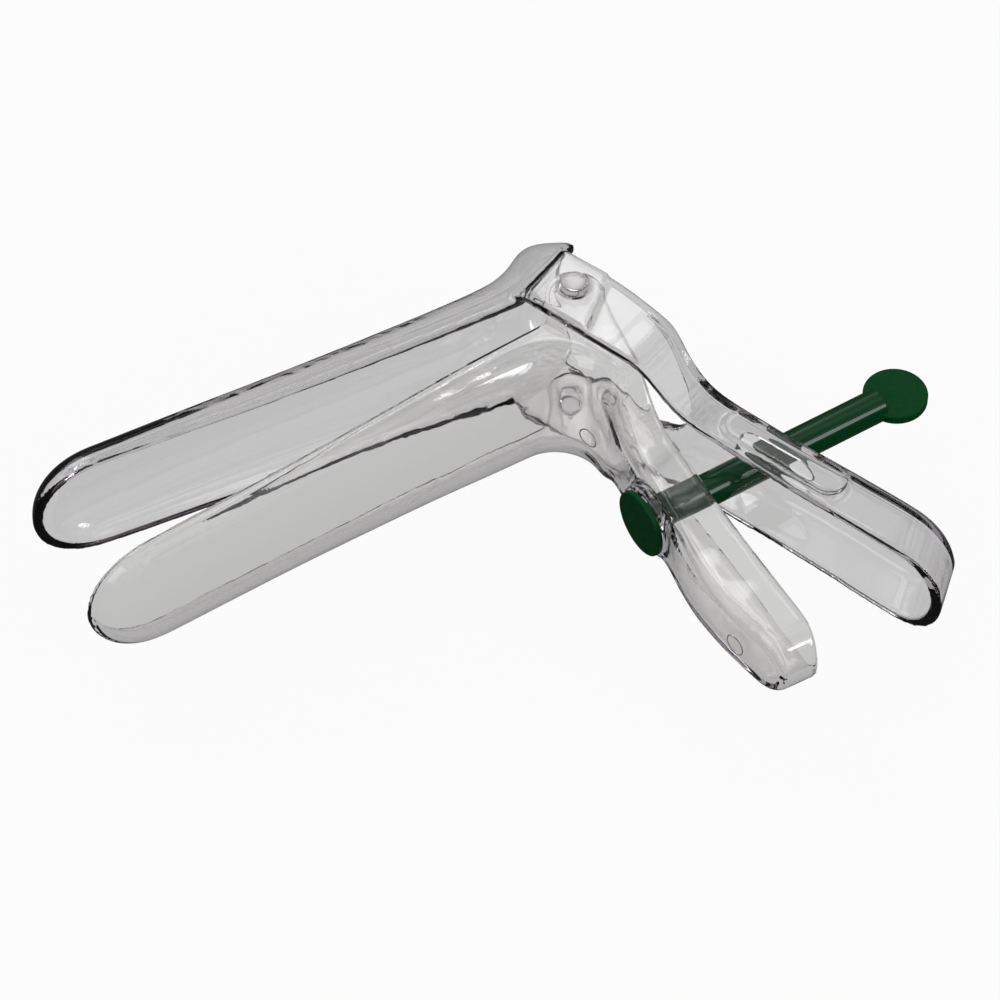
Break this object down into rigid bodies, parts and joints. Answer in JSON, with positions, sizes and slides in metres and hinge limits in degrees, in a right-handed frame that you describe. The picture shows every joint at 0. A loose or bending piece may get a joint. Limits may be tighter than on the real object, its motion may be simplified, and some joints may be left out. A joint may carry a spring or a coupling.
{
  "type": "bivalve speculum",
  "caption": "Clear moulded speculum: two hinged trough-shaped blades with channel handles, and a round locking rod with a head and a paddle grip that turns in the lower handle.",
  "frame": {"origin": "on the pivot axis, at the flat end of the lower pivot stud, which the part lies on", "axes": "+Z along the pivot axis, across the blades; the blades run towards -X, the handles towards +X and -Y"},
  "size_m": [0.1557, 0.0913, 0.0356],
  "materials": {
    "clear_lower": "polished clear moulded polystyrene",
    "clear_upper": "polished clear moulded polystyrene",
    "rod_green": "glossy dark green moulded plastic, fine satin texture on the paddle"
  },
  "bodies": {
    "lower_valve": {"lower_valve": "clear_lower"},
    "upper_valve": {"upper_valve": "clear_upper"},
    "locking_rod": {"locking_rod": "rod_green"}
  },
  "joints": [
    {"name": "valve_hinge", "type": "hinge", "parent": "lower_valve", "child": "upper_valve", "pos_m": [0, 0, 0.0178], "axis": [0, 0, 1], "range_deg": [-18, 12]},
    {"name": "rod_turn", "type": "hinge", "parent": "lower_valve", "child": "locking_rod", "pos_m": [0.0106, -0.0397, 0.0178], "axis": [0.8453, 0.5344, 0], "range_deg": [0, 90]}
  ]
}
